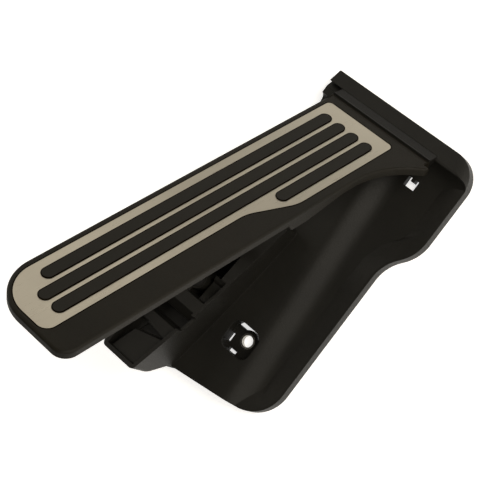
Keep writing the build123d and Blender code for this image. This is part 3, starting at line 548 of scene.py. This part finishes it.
class PEDAL_OT_base(bpy.types.Operator):
    """Dresses the base moulding, its hinge strip and the bolt's sleeve"""

    bl_idname = "pedal.base"
    bl_label = "Base"

    def execute(self, context):
        finish = context.scene.pedal_finish
        base = moulded_plastic(
            "grained_polypropylene_base", (linear("#151411"), finish.plastic_colour),
            finish.grain / MM, 0.11, 0.52,
        )
        dress(base, "base_housing")
        ledges = {"toe_well_ledges": toe_ledges(), "middle_well_ledge": middle_ledge()}
        for name, rings in ledges.items():
            piece = new_piece(grid_mesh(name, rings), base, smooth=False)
            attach(piece, "base")
        # Painted shade: the hinge strip gets a darker copy of the base's plastic, which dims it
        # where the tread card lights it
        dress(moulded_plastic(
            "hinge_polypropylene_painted_shade", tones("#12110f", "#171613"), 0.7, 0.02, 0.55, 0.2
        ), "hinge_strip")
        dress(worked_metal(
            "zinc_plated_sleeve", tones("#8f8d88", "#bdbab2"), 0.8, 0.34
        ), "bolt_sleeve")
        return {"FINISHED"}


class PEDAL_OT_pad(bpy.types.Operator):
    """Dresses the pad, its tread plate and the rubber ribs"""

    bl_idname = "pedal.pad"
    bl_label = "Pad"

    def execute(self, context):
        finish = context.scene.pedal_finish
        dress(moulded_plastic(
            "grained_nylon_pad", tones("#17150f", "#1d1a13"), finish.grain / MM, 0.06, 0.54, 0.16
        ), "pedal_pad")
        dress(satin_sheet(
            "satin_stainless_tread", (linear("#b3ac9c"), finish.metal_colour), 0.35, 26.0, 0.3
        ), "tread_plate")
        # Painted shade: a matt near-black bead with no polish, standing for the gaps' shadow
        edge = moulded_plastic(
            "painted_shade_tread_edge", tones("#0d0903", "#130d05"), 0.5, 0.01, 0.8, 0.0
        )
        shade_rims = {"plate_edge_painted_shade": plate_shade_rim()}
        for number in range(len(RIB_ENDS)):
            shade_rims[f"rib_edge_{number + 1}"] = rib_shade_rim(number)
        for name, rings in shade_rims.items():
            mesh = grid_mesh(name, rings, loop=True)
            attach(new_piece(mesh, edge, smooth=False), "pad")
        dress(moulded_rubber("tread_rubber", tones("#13110b", "#19160e"), 0.9, 0.66), "rubber_mat")
        return {"FINISHED"}


class PEDAL_OT_lever(bpy.types.Operator):
    """Dresses the lever, its shaft, bushes, shoe and bump stop"""

    bl_idname = "pedal.lever"
    bl_label = "Lever"

    def execute(self, context):
        dress(moulded_plastic(
            "glass_filled_nylon_lever", tones("#1d1d1f", "#27272a"), 0.6, 0.03, 0.44
        ), "lever_arm")
        dress(acetal("acetal_shoe", tones("#d9d5c8", "#e6e2d6"), 0.35), "lever_shoe")
        dress(
            acetal("acetal_bush", tones("#cfcabb", "#ddd8ca"), 0.38),
            "shaft_bush_left", "shaft_bush_right",
        )
        dress(worked_metal(
            "ground_steel_shaft", tones("#9a9a9a", "#b9b9b7"), 0.3, 0.22
        ), "lever_shaft")
        dress(moulded_rubber(
            "bump_stop_rubber", tones("#1c1b1a", "#262524"), 0.8, 0.68
        ), "bump_stop")
        return {"FINISHED"}


class PEDAL_OT_springs(bpy.types.Operator):
    """Winds the two return springs between the base and the lever"""

    bl_idname = "pedal.springs"
    bl_label = "Return springs"

    def execute(self, context):
        sides = context.scene.pedal_finish.wire_sides
        steel = worked_metal("oiled_spring_steel", tones("#6a6865", "#8d8a85"), 0.5, 0.27)
        for side, mirrored in (("left", False), ("right", True)):
            rings = tube_along(spring_path(mirrored), SPRING_WIRE / 2.0 * MM, sides)
            mesh = grid_mesh(f"return_spring_{side}_wire", rings)
            spring = new_piece(mesh, steel, smooth=True)
            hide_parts(f"return_spring_{side}")
            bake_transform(spring)
        return {"FINISHED"}


class PEDAL_OT_sensor(bpy.types.Operator):
    """Dresses the sensor's cover, board, chip, pins, magnet, seal and screws"""

    bl_idname = "pedal.sensor"
    bl_label = "Sensor"

    def execute(self, context):
        dress(moulded_plastic(
            "glass_filled_cover", tones("#191918", "#21211f"), 0.55, 0.04, 0.5
        ), "sensor_cover")
        dress(moulded_plastic(
            "nylon_magnet_holder", tones("#202022", "#2a2a2c"), 0.6, 0.02, 0.42
        ), "magnet_holder")
        dress(worked_metal(
            "sintered_magnet", tones("#4b4b4d", "#5c5c5e"), 0.4, 0.5
        ), "rotor_magnet")
        dress(moulded_rubber(
            "silicone_seal", tones("#2b2c30", "#36373b"), 0.7, 0.55
        ), "cover_seal")
        dress(worked_metal(
            "zinc_plated_screw", tones("#8d8b87", "#b4b2ac"), 0.4, 0.3
        ), "cover_screws")
        dress(solder_resist(
            "green_solder_resist", resist="#0d3a1e", copper="#1c5a30"
        ), "circuit_board")
        dress(moulded_plastic(
            "moulded_epoxy_chip", tones("#171717", "#1f1f1f"), 0.3, 0.02, 0.6
        ), "sensor_chip")
        dress(worked_metal(
            "tinned_brass_pins", tones("#b9a878", "#d3c596"), 0.3, 0.25
        ), "connector_pins")
        return {"FINISHED"}


def white_for_eye(tree, surface, white):
    """The surface, but plain white where a camera, glossy or transmission ray meets it."""
    path = add_node(tree, "ShaderNodeLightPath")
    seen = add_node(tree, "ShaderNodeMath", {
        0: path.outputs["Is Camera Ray"], 1: path.outputs["Is Glossy Ray"],
    }, operation="MAXIMUM")
    seen = add_node(tree, "ShaderNodeMath", {
        0: seen.outputs["Value"], 1: path.outputs["Is Transmission Ray"],
    }, operation="MAXIMUM")
    return add_node(tree, "ShaderNodeMixShader", {
        "Fac": seen.outputs["Value"], 1: surface, 2: white,
    }).outputs["Shader"]


class PEDAL_OT_stage(bpy.types.Operator):
    """Sets the pale floor, the studio lamps, the world and the camera"""

    bl_idname = "pedal.stage"
    bl_label = "Stage"

    def execute(self, context):
        scene = context.scene
        scene.view_settings.view_transform = "Standard"
        self.floor(scene)
        self.lamps(scene)
        self.world(scene)
        self.camera(scene)
        return {"FINISHED"}

    def floor(self, scene):
        """A wide pale plane just under the base, which keeps the object's shadow."""
        corners = [
            (x * FLOOR_HALF, y * FLOOR_HALF, -FLOOR_DROP)
            for x, y in ((-1, -1), (1, -1), (1, 1), (-1, 1))
        ]
        mesh = bpy.data.meshes.new("studio_floor")
        mesh.from_pydata(corners, [], [(0, 1, 2, 3)])
        floor = bpy.data.objects.new("studio_floor", mesh)
        scene.collection.objects.link(floor)
        material, tree = new_material("pale_studio_floor")
        matt = add_node(tree, "ShaderNodeBsdfDiffuse", {"Color": linear("#f4f2ee")})
        glow = add_node(tree, "ShaderNodeEmission", {
            "Color": linear("#ffffff"), "Strength": FLOOR_GLOW,
        })
        lit = add_node(tree, "ShaderNodeAddShader", {
            0: matt.outputs["BSDF"], 1: glow.outputs["Emission"],
        })
        shown = white_for_eye(tree, matt.outputs["BSDF"], lit.outputs["Shader"])
        add_node(tree, "ShaderNodeOutputMaterial", {"Surface": shown})
        mesh.materials.append(material)

    def lamps(self, scene):
        """Soft boxes round the pedal, each given by its bearing from +X and its rise over
        the floor in degrees, its width and height in metres, its power in watts and its
        tint. The strongest stands at the driver's left of the heel, and a wide dim card
        lies where the tread plate mirrors the camera's view."""
        boxes = (
            ("key_box", 225.0, 40.0, 0.7, 0.7, 10.5, WARM_WHITE),
            ("toe_box", 135.0, 40.0, 0.7, 0.7, 3.7, WARM_WHITE),
            ("wing_box", 180.0, 26.0, 0.9, 0.9, 2.2, WARM_WHITE),
            ("right_low_box", 0.0, 12.0, 0.7, 0.7, 2.8, WARM_WHITE),
            ("right_box", 0.0, 42.0, 0.7, 0.7, 2.0, WARM_WHITE),
            ("tread_card", 304.0, 19.0, 0.8, 0.6, 1.35, CARD_WHITE),
            ("camera_box", 194.0, 64.0, 0.9, 0.9, 1.2, WARM_WHITE),
        )
        for name, bearing, rise, width, tall, power, tint in boxes:
            lamp = bpy.data.lights.new(name, "AREA")
            lamp.shape = "RECTANGLE"
            lamp.size = width
            lamp.size_y = tall
            lamp.energy = power
            lamp.color = linear(tint)[:3]
            flat, up = np.radians(bearing), np.radians(rise)
            away = Vector((np.cos(up) * np.cos(flat), np.cos(up) * np.sin(flat), np.sin(up)))
            holder = bpy.data.objects.new(name, lamp)
            holder.location = LAMP_AIM + LAMP_DISTANCE * away
            holder.rotation_euler = away.to_track_quat("Z", "Y").to_euler()
            scene.collection.objects.link(holder)

    def world(self, scene):
        """Even dim light all round, and plain white where the camera sees past the floor."""
        world = bpy.data.worlds.new("studio_world")
        scene.world = world
        world.use_nodes = True
        tree = world.node_tree
        tree.nodes.clear()
        room = add_node(tree, "ShaderNodeBackground", {
            "Color": linear("#f2ece2"), "Strength": ROOM_STRENGTH,
        })
        white = add_node(tree, "ShaderNodeBackground", {
            "Color": linear("#ffffff"), "Strength": 1.0,
        })
        path = add_node(tree, "ShaderNodeLightPath")
        mixed = add_node(tree, "ShaderNodeMixShader", {
            "Fac": path.outputs["Is Camera Ray"],
            1: room.outputs["Background"], 2: white.outputs["Background"],
        })
        add_node(tree, "ShaderNodeOutputWorld", {"Surface": mixed.outputs["Shader"]})

    def camera(self, scene):
        """The photograph's own camera, worked out for its square frame."""
        lens = bpy.data.cameras.new("photo_camera")
        lens.lens = CAMERA_LENS
        lens.sensor_width = SENSOR_WIDTH
        lens.clip_end = CAMERA_REACH
        camera = bpy.data.objects.new("photo_camera", lens)
        back = CAMERA_RIGHT.cross(CAMERA_UP)
        turn = Matrix((CAMERA_RIGHT, CAMERA_UP, back)).transposed()
        camera.matrix_world = Matrix.Translation(CAMERA_AT) @ turn.to_4x4()
        scene.collection.objects.link(camera)
        scene.camera = camera


STEPS = (
    PEDAL_OT_base, PEDAL_OT_pad, PEDAL_OT_lever, PEDAL_OT_springs, PEDAL_OT_sensor,
    PEDAL_OT_stage,
)


class PEDAL_PT_panel(bpy.types.Panel):
    """Lists the pedal's groups of pieces and its stage"""

    bl_idname = "PEDAL_PT_panel"
    bl_label = "Accelerator Pedal"
    bl_space_type = "VIEW_3D"
    bl_region_type = "UI"
    bl_category = "Pedal"

    def draw(self, context):
        finish = context.scene.pedal_finish
        for field in ("metal_colour", "plastic_colour", "grain", "wire_sides"):
            self.layout.prop(finish, field)
        for step in STEPS:
            self.layout.operator(step.bl_idname)


CLASSES = (PedalFinish, *STEPS, PEDAL_PT_panel)


def register():
    for item in CLASSES:
        bpy.utils.register_class(item)
    bpy.types.Scene.pedal_finish = bpy.props.PointerProperty(type=PedalFinish)


def unregister():
    del bpy.types.Scene.pedal_finish
    for item in reversed(CLASSES):
        bpy.utils.unregister_class(item)


def main():
    """Builds every group in order."""
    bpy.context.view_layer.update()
    register()
    bpy.ops.pedal.base()
    bpy.ops.pedal.pad()
    bpy.ops.pedal.lever()
    bpy.ops.pedal.springs()
    bpy.ops.pedal.sensor()
    bpy.ops.pedal.stage()


if __name__ == "__main__":
    main()
